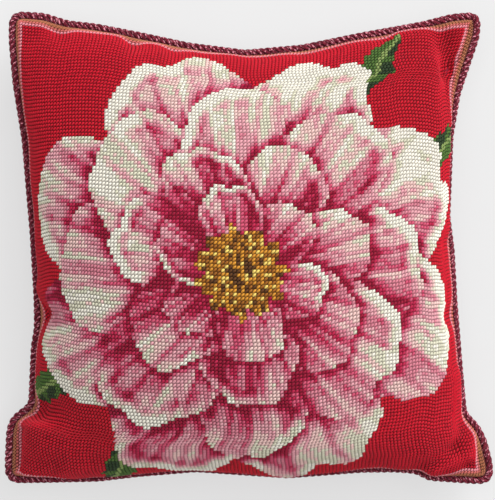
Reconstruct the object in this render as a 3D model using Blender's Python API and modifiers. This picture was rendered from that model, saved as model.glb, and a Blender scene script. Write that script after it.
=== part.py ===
# Square needlepoint cushion: a filled body, a stitched canvas front and a twisted rope in the seam.
# It lies on its back. X runs across the face, Y up the pattern and Z out of the stitched side.
import math

import bmesh
import bpy
import numpy as np
from mathutils import Matrix

OBJECT_NAME = "needlepoint_cushion"
MM = 0.001

# Corners of the rope's middle line, before they are rounded: x and y in mm
CORNERS = {
    "top_left": (-177.1, 174.8),
    "top_right": (171.9, 174.1),
    "bottom_right": (181.7, -175.6),
    "bottom_left": (-180.8, -174.9),
}
CORNER_RADIUS = 7.0

# How far each side of the rope lies in from the line between its corners, clockwise.
# Columns: share of the side, mm inwards.
SIDES = {
    "top": (
        (0.07, 1.5), (0.12, 7.1), (0.18, 9.4), (0.28, 16.2), (0.38, 23.7),
        (0.50, 29.0), (0.62, 25.2), (0.75, 15.8), (0.88, 7.5), (0.94, 2.0),
    ),
    "right": (
        (0.05, 2.0), (0.10, 8.5), (0.17, 17.4), (0.26, 23.6), (0.43, 27.6), (0.50, 25.1),
        (0.61, 24.0), (0.74, 21.5), (0.85, 18.9), (0.88, 9.3), (0.91, 4.4), (0.96, 0.4),
    ),
    "bottom": (
        (0.04, 0.5), (0.13, 3.0), (0.155, 8.1), (0.20, 10.4), (0.27, 11.0),
        (0.42, 7.2), (0.61, 11.7), (0.73, 7.5), (0.81, 3.0), (0.91, 0.8),
    ),
    "left": (
        (0.05, 0.0), (0.11, 1.1), (0.135, 4.0), (0.165, 17.4), (0.25, 18.6), (0.29, 19.2),
        (0.33, 21.4), (0.39, 21.0), (0.53, 17.6), (0.73, 10.8), (0.85, 3.5), (0.94, 0.2),
    ),
}
ENDS = {
    "top": ("top_left", "top_right"),
    "right": ("top_right", "bottom_right"),
    "bottom": ("bottom_right", "bottom_left"),
    "left": ("bottom_left", "top_left"),
}
# How far the crown swells out over the seam in the middle of each side, mm
SWELL = {"top": 4.0, "right": 14.0, "bottom": 14.0, "left": 5.0}

# The swelling is gone at both ends of a side, and stays near the edge: powers of u and v
SWELL_ENDS = 4
SWELL_EDGE = 3

# The seam is level along the sides and falls to the corners: mm over the floor
SEAM_HEIGHT = 46.0
CORNER_HEIGHT = {"top_left": 41.0, "top_right": 44.0, "bottom_right": 35.0, "bottom_left": 33.0}
CORNER_FALL = 4

# Filling: the crown over the seam and the belly under it in mm, before the belly settles
CROWN = 84.0
BELLY = 64.0
SETTLE = 4.0
PEAK_U = -0.06
PEAK_V = -0.14
ROUNDNESS = 0.55

# The small waves of a side fade out over this share of the cushion
EDGE_FADE = 0.28

# Ears, where both cloths lie nearly flat: the reach in mm of each from its corner
EAR_REACH = {"top_left": 25.0, "top_right": 29.0, "bottom_right": 24.0, "bottom_left": 33.0}
EAR_STEEPNESS = 3

# Main folds of the front, each a soft trough along a line, in mm.
# Columns: x and y at its start, x and y at its end, depth at its start and end, width.
FOLDS = (
    (-166.0, -119.0, -138.0, -121.0, 6.5, 0.0, 8.0),
    (-146.0, -176.0, -135.0, -156.0, 3.5, 0.0, 8.0),
    (166.0, -125.0, 157.0, -152.0, 6.0, 4.0, 8.0),
    (157.0, -152.0, 126.0, -171.0, 4.0, 5.0, 8.0),
    (156.0, 116.0, 146.0, 150.0, 5.0, 1.0, 8.0),
)
# The folds die out at the seam, over this share of half the cushion
FOLD_START = 0.035

CANVAS_THICK = 2.4
PIECE_GAP = 0.35
EDGE_UP = 1.2
EDGE_DOWN = 3.6

ROPE_RADIUS = 3.0
ROPE_VALLEY = 2.2
ROPE_STRANDS = 3
ROPE_TURNS = 96
ROPE_GAP = 0.3
ROPE_DROP = 1.2
WELD = 0.02

# The grid of both cloths: its lines crowd together at the edges and at the notches beside the ears
CELLS = 32
NOTCH_U = 0.71
NOTCH_V = -0.73
CROWDING = 0.16
CROWD_REACH = 0.08
SIDE_POINTS = 360
SOFTEN_PASSES = 12

MATERIALS = {
    "stitched_wool": ((0.58, 0.10, 0.13, 1.0), 0.90),
    "back_cloth": ((0.22, 0.02, 0.04, 1.0), 0.85),
    "rope_yarn": ((0.16, 0.01, 0.03, 1.0), 0.75),
}


def clear_scene():
    for ob in list(bpy.data.objects):
        bpy.data.objects.remove(ob, do_unlink=True)


def make_collection(name):
    made = bpy.data.collections.new(name)
    bpy.context.scene.collection.children.link(made)
    return made


def make_material(name):
    colour, roughness = MATERIALS[name]
    material = bpy.data.materials.new(name)
    material.use_nodes = True
    shader = material.node_tree.nodes["Principled BSDF"]
    shader.inputs["Base Color"].default_value = colour
    shader.inputs["Roughness"].default_value = roughness
    shader.inputs["Metallic"].default_value = 0.0
    return material


# Seam

def rope_side(name):
    """Points of one side of the rope's middle line, from half of one corner's arc to the next."""
    start, end = (np.array(CORNERS[corner]) for corner in ENDS[name])
    length = np.linalg.norm(end - start)
    forward = (end - start) / length
    inward = np.array((forward[1], -forward[0]))
    half_arc = CORNER_RADIUS * (1 - math.cos(math.pi / 4))
    distance = np.linspace(half_arc, length - half_arc, SIDE_POINTS, endpoint=False)
    shares, depths = zip((0.0, 0.0), *SIDES[name], (1.0, 0.0))
    depth = np.interp(distance / length, shares, depths)
    for from_corner in (distance, length - distance):
        in_arc = np.clip(CORNER_RADIUS - from_corner, 0.0, CORNER_RADIUS)
        depth += CORNER_RADIUS - np.sqrt(CORNER_RADIUS**2 - in_arc**2)
    return start + np.outer(distance, forward) + np.outer(depth, inward)


def soften(loop):
    for _ in range(SOFTEN_PASSES):
        loop = (np.roll(loop, 1, axis=0) + 2 * loop + np.roll(loop, -1, axis=0)) / 4
    return loop


def offset_loop(loop, inwards):
    along = np.roll(loop, -1, axis=0) - np.roll(loop, 1, axis=0)
    along /= np.linalg.norm(along, axis=1)[:, None]
    return loop + inwards * np.column_stack((along[:, 1], -along[:, 0]))


def seam_heights():
    """Height of the seam along the whole loop: level on the sides, lower at the ears."""
    share = np.linspace(0.0, 1.0, SIDE_POINTS, endpoint=False)
    heights = []
    for name in SIDES:
        first, last = (CORNER_HEIGHT[corner] - SEAM_HEIGHT for corner in ENDS[name])
        fall = first * (1 - share) ** CORNER_FALL + last * share**CORNER_FALL
        heights.append(SEAM_HEIGHT + fall)
    return np.concatenate(heights)


def panel_sides(loop, heights):
    """Each side of the panel's edge as x, y, z at even steps, with both its corner points."""
    edge = np.column_stack((offset_loop(loop, ROPE_RADIUS + ROPE_GAP), heights))
    edge = np.vstack((edge, edge[:1]))
    sides = {}
    for number, name in enumerate(SIDES):
        points = edge[number * SIDE_POINTS:(number + 1) * SIDE_POINTS + 1]
        steps = np.linalg.norm(np.diff(points[:, :2], axis=0), axis=1)
        walked = np.concatenate(((0.0,), np.cumsum(steps)))
        even = np.linspace(0.0, walked[-1], SIDE_POINTS + 1)
        sides[name] = np.column_stack([np.interp(even, walked, axis) for axis in points.T])
    return sides


# Cushion surfaces

def on_side(points, share):
    steps = np.linspace(0.0, 1.0, len(points))
    return np.stack([np.interp(share, steps, axis) for axis in points.T], axis=-1)


def plain_side(points, share):
    """A side without its small waves: the chord with one even bow."""
    chord = points[-1] - points[0]
    middle = points[len(points) // 2] - points[0] - chord / 2
    bow = 1 - (2 * share - 1) ** 2
    return points[0] + share[..., None] * chord + bow[..., None] * middle


def edge_fade(away):
    near = np.clip(1 - away / EDGE_FADE, 0.0, 1.0)
    return near * near * (3 - 2 * near)


def rise(across, peak=0.0):
    """A rounded hill from -1 to 1, whose top is moved to the peak."""
    moved = np.clip(across - peak * (1 - across**2), -1.0, 1.0)
    return (1 - moved**2) ** ROUNDNESS


def base_surface(sides, u, v):
    """A sheet spanned between the four sides, with u and v from -1 to 1 across and up."""
    shares = {"top": (u + 1) / 2, "right": (1 - v) / 2, "bottom": (1 - u) / 2, "left": (v + 1) / 2}
    away = {"top": (1 - v) / 2, "right": (1 - u) / 2, "bottom": (v + 1) / 2, "left": (u + 1) / 2}
    plain = {name: plain_side(sides[name], shares[name]) for name in sides}
    sheet = sum(plain[name] * (1 - away[name])[..., None] for name in sides)
    names = list(sides)
    for before, name in zip(names[-1:] + names[:-1], names):
        near_corner = (1 - away[before]) * (1 - away[name])
        sheet -= near_corner[..., None] * sides[name][0]
    for name in names:
        wave = on_side(sides[name], shares[name]) - plain[name]
        sheet += edge_fade(away[name])[..., None] * wave
    return sheet


def ear_flattening(sheet):
    """From 0 at the tip of each ear to 1 in the cushion's middle."""
    kept = np.ones(sheet.shape[:-1])
    for corner, (x, y) in CORNERS.items():
        distance = np.hypot(sheet[..., 0] - x, sheet[..., 1] - y)
        kept *= 1 - np.exp(-((distance / EAR_REACH[corner]) ** EAR_STEEPNESS))
    return kept


def swell(u, v, height):
    """How far the crown leans out over each side, as x and y. It leans most at half its height."""
    lean = 4 * height * (1 - height)
    across = np.where(u > 0, SWELL["right"], -SWELL["left"]) * (1 - v**SWELL_ENDS)
    up = np.where(v > 0, SWELL["top"], -SWELL["bottom"]) * (1 - u**SWELL_ENDS)
    return across * lean * np.abs(u) ** SWELL_EDGE, up * lean * np.abs(v) ** SWELL_EDGE


def normals_of(points):
    across = np.gradient(points, axis=1)
    up = np.gradient(points, axis=0)
    normal = np.cross(across, up)
    return normal / np.linalg.norm(normal, axis=-1, keepdims=True)


def fold_depth(points):
    depth = np.zeros(points.shape[:-1])
    for x0, y0, x1, y1, deep0, deep1, wide in FOLDS:
        run = np.array((x1 - x0, y1 - y0))
        from_start = points[..., :2] - (x0, y0)
        share = np.clip(from_start @ run / (run @ run), 0.0, 1.0)
        distance = np.linalg.norm(from_start - share[..., None] * run, axis=-1)
        depth += (deep0 + (deep1 - deep0) * share) * np.exp(-((distance / wide) ** 2))
    return depth


def front_surface(sides, u, v):
    """The crown over the seam. The folds start a little inside the seam, which stays sewn down."""
    sheet = base_surface(sides, u, v)
    height = rise(u, PEAK_U) * rise(v, PEAK_V) * ear_flattening(sheet)
    lean_x, lean_y = swell(u, v, height)
    points = sheet + np.stack((lean_x, lean_y, EDGE_UP + CROWN * height), axis=-1)
    from_seam = 1 - np.maximum(np.abs(u), np.abs(v))
    depth = fold_depth(points) * (1 - np.exp(-((from_seam / FOLD_START) ** 2)))
    return points - depth[..., None] * normals_of(points)


def back_surface(sides, u, v):
    """The belly under the seam. It eases down to z = 0, where a patch of it lies flat."""
    sheet = base_surface(sides, u, v)
    drop = BELLY * rise(u) * rise(v) * ear_flattening(sheet)
    height = sheet[..., 2] - EDGE_DOWN - drop
    eased = np.maximum(height + SETTLE, 0.0) ** 2 / (4 * SETTLE)
    sheet[..., 2] = np.where(height > SETTLE, height, eased)
    return sheet


# Solids

def stations(notch):
    """Grid lines from -1 to 1, close together at both ends and around the notch."""
    fine = np.linspace(-1.0, 1.0, 4 * SIDE_POINTS + 1)
    walked = np.arcsin(fine) + CROWDING * np.tanh((fine - notch) / CROWD_REACH)
    return np.interp(np.linspace(walked[0], walked[-1], CELLS + 1), walked, fine)


def flat_grid():
    """A flat square grid of triangles with steps of 1, which the surfaces give their shape."""
    bm = bmesh.new()
    bmesh.ops.create_grid(bm, x_segments=CELLS, y_segments=CELLS, size=CELLS / 2)
    bmesh.ops.triangulate(bm, faces=bm.faces, quad_method="ALTERNATE")
    return bm


def grid_index(vert):
    return round(vert.co.y + CELLS / 2), round(vert.co.x + CELLS / 2)


def add_object(bm, name, collection, material):
    mesh = bpy.data.meshes.new(name)
    bm.to_mesh(mesh)
    bm.free()
    mesh.shade_smooth()
    mesh.materials.append(material)
    ob = bpy.data.objects.new(name, mesh)
    collection.objects.link(ob)
    return ob


def make_front(surface, collection, material):
    """The open front sheet, which Solidify thickens inwards. Returns the sheet's own normals."""
    bm = flat_grid()
    places = {vert: grid_index(vert) for vert in bm.verts}
    for vert, place in places.items():
        vert.co = surface[place] * MM
    bm.normal_update()
    normals = np.zeros(surface.shape)
    for vert, place in places.items():
        normals[place] = vert.normal
    front = add_object(bm, "needlepoint_front", collection, material)
    solidify = front.modifiers.new("canvas", "SOLIDIFY")
    solidify.thickness = CANVAS_THICK * MM
    solidify.offset = -1
    return normals


def make_body(top, bottom, collection, material):
    """The filled body: the grid is drawn down once, then shaped above and below."""
    bm = flat_grid()
    drawn = bmesh.ops.extrude_face_region(bm, geom=list(bm.faces))["geom"]
    lower = {item for item in drawn if isinstance(item, bmesh.types.BMVert)}
    for vert in bm.verts:
        place = grid_index(vert)
        vert.co = (bottom if vert in lower else top)[place] * MM
    bmesh.ops.triangulate(bm, faces=bm.faces, quad_method="SHORT_EDGE")
    bmesh.ops.recalc_face_normals(bm, faces=bm.faces)
    return add_object(bm, "cushion_body", collection, material)


def rope_section(collection):
    """The rope's lobed section, one lobe for each strand."""
    curve = bpy.data.curves.new("rope_section", "CURVE")
    curve.dimensions = "2D"
    corners = 2 * ROPE_STRANDS
    spline = curve.splines.new("POLY")
    spline.points.add(corners - 1)
    for number, point in enumerate(spline.points):
        radius = (ROPE_RADIUS, ROPE_VALLEY)[number % 2] * MM
        angle = math.tau * number / corners
        point.co = (radius * math.cos(angle), radius * math.sin(angle), 0.0, 1.0)
    spline.use_cyclic_u = True
    section = bpy.data.objects.new("rope_section", curve)
    section.hide_render = True
    section.display_type = "WIRE"
    collection.objects.link(section)
    return section


def even_loop(points, count):
    closed = np.vstack((points, points[:1]))
    steps = np.linalg.norm(np.diff(closed, axis=0), axis=1)
    walked = np.concatenate(((0.0,), np.cumsum(steps)))
    even = np.linspace(0.0, walked[-1], count, endpoint=False)
    return np.column_stack([np.interp(even, walked, axis) for axis in closed.T])


def make_rope(loop, heights, section, collection, material):
    """The rope follows the seam, and each step turns it by half a strand's share of a turn."""
    steps_a_turn = 2 * ROPE_STRANDS
    points = even_loop(np.column_stack((loop, heights - ROPE_DROP)), ROPE_TURNS * steps_a_turn)
    curve = bpy.data.curves.new("rope_line", "CURVE")
    curve.dimensions = "3D"
    curve.twist_mode = "Z_UP"
    curve.bevel_mode = "OBJECT"
    curve.bevel_object = section
    spline = curve.splines.new("POLY")
    spline.points.add(len(points) - 1)
    for number, (point, place) in enumerate(zip(spline.points, points)):
        point.co = (*(place * MM), 1.0)
        point.tilt = math.tau * (number % steps_a_turn) / steps_a_turn
    spline.use_cyclic_u = True
    line = bpy.data.objects.new("rope_line", curve)
    collection.objects.link(line)
    evaluated = line.evaluated_get(bpy.context.evaluated_depsgraph_get())
    bm = bmesh.new()
    bm.from_mesh(bpy.data.meshes.new_from_object(evaluated))
    bpy.data.objects.remove(line, do_unlink=True)
    bmesh.ops.remove_doubles(bm, verts=bm.verts, dist=WELD * MM)
    bmesh.ops.triangulate(bm, faces=bm.faces, quad_method="SHORT_EDGE")
    bmesh.ops.recalc_face_normals(bm, faces=bm.faces)
    return add_object(bm, "rope_trim", collection, material)


def centre(pieces, widest):
    """Moves every mesh so that the widest piece, and with it the object, is centred on Z."""
    points = np.array([vert.co for vert in widest.data.vertices])
    middle = (points.min(axis=0) + points.max(axis=0)) / 2
    for ob in pieces:
        ob.data.transform(Matrix.Translation((-middle[0], -middle[1], 0.0)))


def main():
    clear_scene()
    pieces = make_collection(OBJECT_NAME)
    guides = make_collection("guides")
    loop = soften(np.vstack([rope_side(name) for name in SIDES]))
    heights = seam_heights()
    sides = panel_sides(loop, heights)

    u, v = np.meshgrid(stations(NOTCH_U), stations(NOTCH_V))
    front = front_surface(sides, u, v)
    normals = make_front(front, pieces, make_material("stitched_wool"))
    under_front = front - (CANVAS_THICK + PIECE_GAP) * normals
    make_body(under_front, back_surface(sides, u, v), pieces, make_material("back_cloth"))
    section = rope_section(guides)
    rope = make_rope(loop, heights, section, pieces, make_material("rope_yarn"))
    centre(pieces.objects, rope)


main()
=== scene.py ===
# Looks of a square needlepoint cushion that lies on its back: wool tent stitches on canvas,
# a filled body of back cloth and a twisted rope in the seam, in a pale studio.
import math

import bmesh
import bpy
import numpy as np
from mathutils import Matrix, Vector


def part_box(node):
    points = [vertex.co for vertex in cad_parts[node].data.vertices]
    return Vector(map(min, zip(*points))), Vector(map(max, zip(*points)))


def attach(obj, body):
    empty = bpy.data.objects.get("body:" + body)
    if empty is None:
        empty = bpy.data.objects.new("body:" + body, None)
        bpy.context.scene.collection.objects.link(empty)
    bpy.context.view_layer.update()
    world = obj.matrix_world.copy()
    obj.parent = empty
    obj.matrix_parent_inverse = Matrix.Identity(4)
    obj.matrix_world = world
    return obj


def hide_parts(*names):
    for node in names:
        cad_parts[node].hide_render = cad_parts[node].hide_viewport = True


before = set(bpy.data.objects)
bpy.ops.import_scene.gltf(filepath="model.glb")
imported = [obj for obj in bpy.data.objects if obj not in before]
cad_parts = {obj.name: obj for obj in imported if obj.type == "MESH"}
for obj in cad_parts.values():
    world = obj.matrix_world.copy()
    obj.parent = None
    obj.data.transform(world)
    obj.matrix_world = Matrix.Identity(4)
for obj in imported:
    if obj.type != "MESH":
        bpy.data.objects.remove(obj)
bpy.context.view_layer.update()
scene = bpy.context.scene
scene.view_settings.view_transform = "Standard"
mm = 0.001


# Node trees

class Wire:
    # One socket of a node tree, so that maths on it is written as a plain expression
    def __init__(self, graph, socket):
        self.graph, self.socket = graph, socket

    def maths(self, operation, *values):
        inputs = dict(enumerate(values))
        return self.graph.node("ShaderNodeMath", {"operation": operation}, inputs)

    def __add__(self, other):
        return self.maths("ADD", self, other)

    def __sub__(self, other):
        return self.maths("SUBTRACT", self, other)

    def __rsub__(self, other):
        return self.maths("SUBTRACT", other, self)

    def __mul__(self, other):
        return self.maths("MULTIPLY", self, other)

    def __pow__(self, other):
        return self.maths("POWER", self, other)

    __radd__ = __add__
    __rmul__ = __mul__

    def sine(self):
        return self.maths("SINE", self)

    def fraction(self):
        return self.maths("FRACT", self)

    def size(self):
        return self.maths("ABSOLUTE", self)

    def fromMiddle(self):
        # 0 in the middle of each whole step and 0.5 at both its ends
        return (self.fraction() - 0.5).size()

    def step(self, low, high):
        # 0 up to low, 1 from high on and smooth between them; low may lie over high
        inputs = {"Value": self, "From Min": low, "From Max": high}
        return self.graph.node("ShaderNodeMapRange", {"interpolation_type": "SMOOTHSTEP"}, inputs)


class Graph:
    # A node tree with one way of adding a node
    def __init__(self, tree):
        self.tree = tree

    def node(self, kind, settings=(), inputs=(), output=0):
        made = self.tree.nodes.new(kind)
        for name, value in dict(settings).items():
            setattr(made, name, value)
        for name, value in dict(inputs).items():
            if isinstance(value, Wire):
                self.tree.links.new(value.socket, made.inputs[name])
            else:
                made.inputs[name].default_value = value
        return Wire(self, made.outputs[output]) if len(made.outputs) else made

    def blend(self, share, first, second, way="MIX"):
        settings = {"data_type": "RGBA", "blend_type": way, "clamp_factor": True}
        return self.node("ShaderNodeMix", settings, {0: share, 6: first, 7: second}, 2)

    def split(self, vector):
        return [self.node("ShaderNodeSeparateXYZ", {}, {0: vector}, axis) for axis in range(3)]

    def objectPlace(self):
        return self.node("ShaderNodeTexCoord", output="Object")

    def onMap(self, name):
        return self.node("ShaderNodeUVMap", {"uv_map": name})

    def noise(self, place, scale, detail=3.0, roughness=0.55):
        inputs = {"Vector": place, "Scale": scale, "Detail": detail, "Roughness": roughness}
        return self.node("ShaderNodeTexNoise", {}, inputs)

    def patches(self, scale, detail, low, high):
        # soft patches, where a noise rises from low to high
        return self.noise(self.objectPlace(), scale, detail).step(low, high)


def linear(red, green, blue):
    # a colour off a shade card, 0 to 255 each, as the shader takes it
    parts = [part / 255 for part in (red, green, blue)]
    return (*(p / 12.92 if p <= 0.04045 else ((p + 0.055) / 1.055) ** 2.4 for p in parts), 1.0)


fabric = {
    "specular": 0.12,
    "sheenRoughness": 0.5,
}
white = (1.0, 1.0, 1.0, 1.0)
black = (0.0, 0.0, 0.0, 1.0)


def makeFinish(name, colour, roughness, bumps=(), sheen=0.0, tint=white, glow=0.0):
    # colour, roughness and each bump is a function of the graph; a bump gives height and depth
    material = bpy.data.materials.new(name)
    material.use_nodes = True
    graph = Graph(material.node_tree)
    graph.tree.nodes.clear()
    inputs = {"Base Color": colour(graph), "Roughness": roughness(graph)}
    inputs |= {"Specular IOR Level": fabric["specular"], "Sheen Weight": sheen}
    inputs |= {"Sheen Roughness": fabric["sheenRoughness"], "Sheen Tint": tint}
    if glow:
        inputs |= {"Emission Color": white, "Emission Strength": glow}
    normal = None
    for bump in bumps:
        height, depth = bump(graph)
        steps = {"Height": height, "Distance": depth, "Strength": 1.0}
        if normal:
            steps["Normal"] = normal
        normal = graph.node("ShaderNodeBump", {}, steps)
    if normal:
        inputs["Normal"] = normal
    surface = graph.node("ShaderNodeBsdfPrincipled", {}, inputs)
    graph.node("ShaderNodeOutputMaterial", {}, {"Surface": surface})
    return material


def noisyRoughness(scale, detail, least, more):
    # a noise raises the roughness from its least value
    def roughness(graph):
        return graph.noise(graph.objectPlace(), scale, detail) * more + least
    return roughness


def noisyBump(scale, detail, grain, depth):
    # a noise is the height of the bump
    def bump(graph):
        return graph.noise(graph.objectPlace(), scale, detail, grain), depth
    return bump


# Shape of the cushion, in mm: as in the solids, but for the bottom seam, which lies up to
# 2.2 mm further out

seam = {
    "corners": {
        "topLeft": (-177.1, 174.8),
        "topRight": (171.9, 174.1),
        "bottomRight": (181.7, -175.6),
        "bottomLeft": (-180.8, -174.9),
    },
    "cornerRadius": 7.0,
    "ends": {
        "top": ("topLeft", "topRight"),
        "right": ("topRight", "bottomRight"),
        "bottom": ("bottomRight", "bottomLeft"),
        "left": ("bottomLeft", "topLeft"),
    },
    # share of the side, mm inwards from the line between its corners, clockwise
    "sides": {
        "top": (
            (0.07, 1.5), (0.12, 7.1), (0.18, 9.4), (0.28, 16.2), (0.38, 23.7),
            (0.50, 29.0), (0.62, 25.2), (0.75, 15.8), (0.88, 7.5), (0.94, 2.0),
        ),
        "right": (
            (0.05, 2.0), (0.10, 8.5), (0.17, 17.4), (0.26, 23.6), (0.43, 27.6), (0.50, 25.1),
            (0.61, 24.0), (0.74, 21.5), (0.85, 18.9), (0.88, 9.3), (0.91, 4.4), (0.96, 0.4),
        ),
        "bottom": (
            (0.04, 0.5), (0.13, 3.0), (0.155, 8.1), (0.20, 9.4), (0.27, 9.2),
            (0.42, 5.0), (0.61, 9.5), (0.73, 5.6), (0.81, 2.0), (0.91, 0.8),
        ),
        "left": (
            (0.05, 0.0), (0.11, 1.1), (0.135, 4.0), (0.165, 17.4), (0.25, 18.6), (0.29, 19.2),
            (0.33, 21.4), (0.39, 21.0), (0.53, 17.6), (0.73, 10.8), (0.85, 3.5), (0.94, 0.2),
        ),
    },
    "height": 46.0,
    "cornerHeight": {"topLeft": 41.0, "topRight": 44.0, "bottomRight": 35.0, "bottomLeft": 33.0},
    "cornerFall": 4,        # how steeply the seam falls to each corner
    "points": 360,          # on each side
    "softenPasses": 12,
    "panelIn": 3.3,         # from the rope's middle line to the panel's edge
}

filling = {
    "crown": 84.0,
    "belly": 64.0,
    "settle": 4.0,
    "peak": (-0.06, -0.14),
    "roundness": 0.55,
    "edgeFade": 0.28,
    "edgeUp": 1.2,
    "edgeDown": 3.6,
    # how far each side of the crown bulges out over its seam
    "swell": {"top": 4.0, "right": 14.0, "bottom": 14.0, "left": 5.0},
    "swellEnds": 4,
    "swellEdge": 3,
    # how far from its corner each ear stays flat
    "earReach": {"topLeft": 25.0, "topRight": 29.0, "bottomRight": 24.0, "bottomLeft": 33.0},
    "earSteepness": 3,
    # x and y at the start, x and y at the end, depth at the start and end, width
    "folds": (
        (-166.0, -119.0, -138.0, -121.0, 6.5, 0.0, 8.0),
        (-146.0, -176.0, -135.0, -156.0, 3.5, 0.0, 8.0),
        (166.0, -125.0, 157.0, -152.0, 6.0, 4.0, 8.0),
        (157.0, -152.0, 126.0, -171.0, 4.0, 5.0, 8.0),
        (156.0, 116.0, 146.0, 150.0, 5.0, 1.0, 8.0),
    ),
    "foldStart": 0.035,
}

# what the stitched panel has over the plain solid
plump = {
    "halfPanel": 175.0,     # from the middle to a side
    "rollHigh": 5.0,        # mm that the ears rise beside the rope
    "rollWide": 8.0,
    "rowsTight": 0.25,      # how much closer the first rows lie beside the seam
    "tightRows": 5.0,
    "creaseStart": 2.5,     # mm in from the seam
    # as the folds above; a depth under 0 is a ridge
    "creases": (
        (-140.0, 166.0, -138.0, 146.0, 5.0, 1.0, 8.0),
        (-84.6, 157.0, -83.0, 142.0, 5.0, 1.0, 7.0),
        (-54.5, 150.5, -54.0, 136.0, 4.0, 1.0, 8.0),
        (40.0, 148.0, 44.0, 134.0, 2.0, 0.5, 12.0),
        (112.0, 156.0, 148.0, 162.0, -3.0, -3.0, 7.0),
        (146.0, 157.0, 153.0, 132.0, 8.0, 11.0, 8.0),
        (168.0, 163.0, 162.0, 136.0, 3.0, 3.0, 5.0),
        (175.0, -146.0, 176.0, -168.0, 3.0, 3.0, 5.0),
        (162.0, -153.0, 138.0, -164.0, -5.0, -4.0, 6.0),
        (166.0, -164.0, 152.0, -170.0, 3.0, 0.0, 4.0),
        (-160.0, -158.0, -155.0, -148.0, -4.0, -3.0, 10.0),
        (-173.0, -136.0, -174.0, -162.0, 5.0, 5.0, 5.0),
        (150.0, 2.0, 154.0, -82.0, 4.5, 3.5, 9.0),
        (153.0, -50.0, 150.0, -51.0, 4.0, 3.0, 8.0),
        (152.0, 124.0, 150.0, 106.0, 3.0, 2.0, 8.0),
        (-154.0, -50.0, -148.0, -54.0, 8.5, 4.0, 9.0),
        (-156.0, -30.0, -154.0, -31.0, -2.0, -2.0, 7.0),
        (-112.0, -166.0, 96.0, -163.0, 3.2, 2.8, 10.0),
        (-140.0, -128.0, -120.0, -136.0, 5.0, 4.0, 18.0),
        (-170.0, -117.0, -148.0, -116.0, 7.0, 1.0, 6.0),
        (-160.0, -130.0, -138.0, -138.0, -3.0, -2.0, 6.0),
        (-166.0, -167.0, -100.0, -165.0, -2.5, -2.5, 6.0),
    ),
}


def unit(vectors):
    return vectors / np.linalg.norm(vectors, axis=-1, keepdims=True)


def ropeSide(name):
    start, end = (np.array(seam["corners"][corner]) for corner in seam["ends"][name])
    length = np.linalg.norm(end - start)
    forward = (end - start) / length
    inward = np.array((forward[1], -forward[0]))
    radius = seam["cornerRadius"]
    halfArc = radius * (1 - math.cos(math.pi / 4))
    distance = np.linspace(halfArc, length - halfArc, seam["points"], endpoint=False)
    shares, depths = zip((0.0, 0.0), *seam["sides"][name], (1.0, 0.0))
    depth = np.interp(distance / length, shares, depths)
    for fromCorner in (distance, length - distance):
        inArc = np.clip(radius - fromCorner, 0.0, radius)
        depth += radius - np.sqrt(radius**2 - inArc**2)
    return start + np.outer(distance, forward) + np.outer(depth, inward)


def soften(loop):
    for _ in range(seam["softenPasses"]):
        loop = (np.roll(loop, 1, axis=0) + 2 * loop + np.roll(loop, -1, axis=0)) / 4
    return loop


def offsetLoop(loop, inwards):
    along = unit(np.roll(loop, -1, axis=0) - np.roll(loop, 1, axis=0))
    return loop + inwards * np.column_stack((along[:, 1], -along[:, 0]))


def seamHeights():
    share = np.linspace(0.0, 1.0, seam["points"], endpoint=False)
    heights = []
    for name in seam["sides"]:
        first, last = (seam["cornerHeight"][c] - seam["height"] for c in seam["ends"][name])
        fall = first * (1 - share) ** seam["cornerFall"] + last * share ** seam["cornerFall"]
        heights.append(seam["height"] + fall)
    return np.concatenate(heights)


def evenSteps(points, count):
    # the same line as count points an even distance apart
    steps = np.linalg.norm(np.diff(points, axis=0), axis=1)
    walked = np.concatenate(((0.0,), np.cumsum(steps)))
    even = np.linspace(0.0, walked[-1], count)
    return np.column_stack([np.interp(even, walked, axis) for axis in points.T])


def panelSides(loop, heights):
    edge = np.column_stack((offsetLoop(loop, seam["panelIn"]), heights))
    edge = np.vstack((edge, edge[:1]))
    count = seam["points"]
    return {
        name: evenSteps(edge[number * count:(number + 1) * count + 1], count + 1)
        for number, name in enumerate(seam["sides"])
    }


def onSide(points, share):
    steps = np.linspace(0.0, 1.0, len(points))
    return np.stack([np.interp(share, steps, axis) for axis in points.T], axis=-1)


def plainSide(points, share):
    # a side without its small waves: the chord with one even bow
    chord = points[-1] - points[0]
    middle = points[len(points) // 2] - points[0] - chord / 2
    bow = 1 - (2 * share - 1) ** 2
    return points[0] + share[..., None] * chord + bow[..., None] * middle


def rise(across, peak=0.0):
    moved = np.clip(across - peak * (1 - across**2), -1.0, 1.0)
    return (1 - moved**2) ** filling["roundness"]


def baseSurface(u, v):
    # the sheet that the four sides span, without its crown
    shares = {"top": (u + 1) / 2, "right": (1 - v) / 2, "bottom": (1 - u) / 2, "left": (v + 1) / 2}
    away = {"top": (1 - v) / 2, "right": (1 - u) / 2, "bottom": (v + 1) / 2, "left": (u + 1) / 2}
    plain = {name: plainSide(sides[name], shares[name]) for name in sides}
    sheet = sum(plain[name] * (1 - away[name])[..., None] for name in sides)
    names = list(sides)
    for before, name in zip(names[-1:] + names[:-1], names):
        nearCorner = (1 - away[before]) * (1 - away[name])
        sheet -= nearCorner[..., None] * sides[name][0]
    for name in names:
        near = np.clip(1 - away[name] / filling["edgeFade"], 0.0, 1.0)
        wave = onSide(sides[name], shares[name]) - plain[name]
        sheet += (near * near * (3 - 2 * near))[..., None] * wave
    return sheet


def earFlattening(sheet):
    kept = np.ones(sheet.shape[:-1])
    for corner, (x, y) in seam["corners"].items():
        distance = np.hypot(sheet[..., 0] - x, sheet[..., 1] - y)
        kept *= 1 - np.exp(-((distance / filling["earReach"][corner]) ** filling["earSteepness"]))
    return kept


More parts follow.
